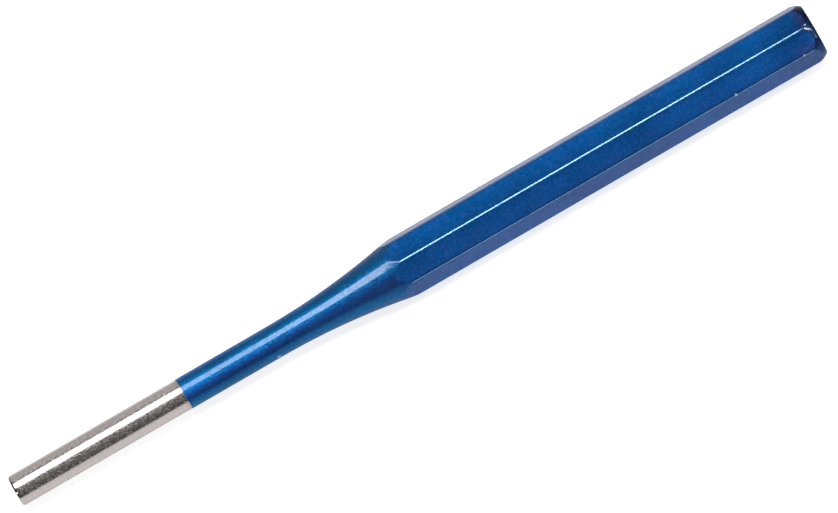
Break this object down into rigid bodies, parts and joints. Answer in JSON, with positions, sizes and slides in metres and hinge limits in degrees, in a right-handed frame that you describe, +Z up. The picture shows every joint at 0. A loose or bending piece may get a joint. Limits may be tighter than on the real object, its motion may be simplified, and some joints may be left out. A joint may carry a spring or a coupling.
{
  "type": "pin punch",
  "caption": "Parallel pin punch: octagonal steel bar with a crowned head, a swept neck and a bare round ground pin, under metallic blue lacquer.",
  "frame": {"origin": "middle of the punch's footprint, on the surface that it lies on", "axes": "+X along the punch from the tip of the pin to the struck face, +Z up from the flat that it lies on, +Y across the bar"},
  "size_m": [0.15, 0.0098, 0.0097],
  "materials": {
    "ground_steel": "bright ground steel with fine rings round the pin",
    "blue_lacquer": "glossy metallic blue lacquer with fine flake"
  },
  "bodies": {
    "root": {"steel_punch": "ground_steel", "lacquer_coat": "blue_lacquer"}
  },
  "joints": []
}
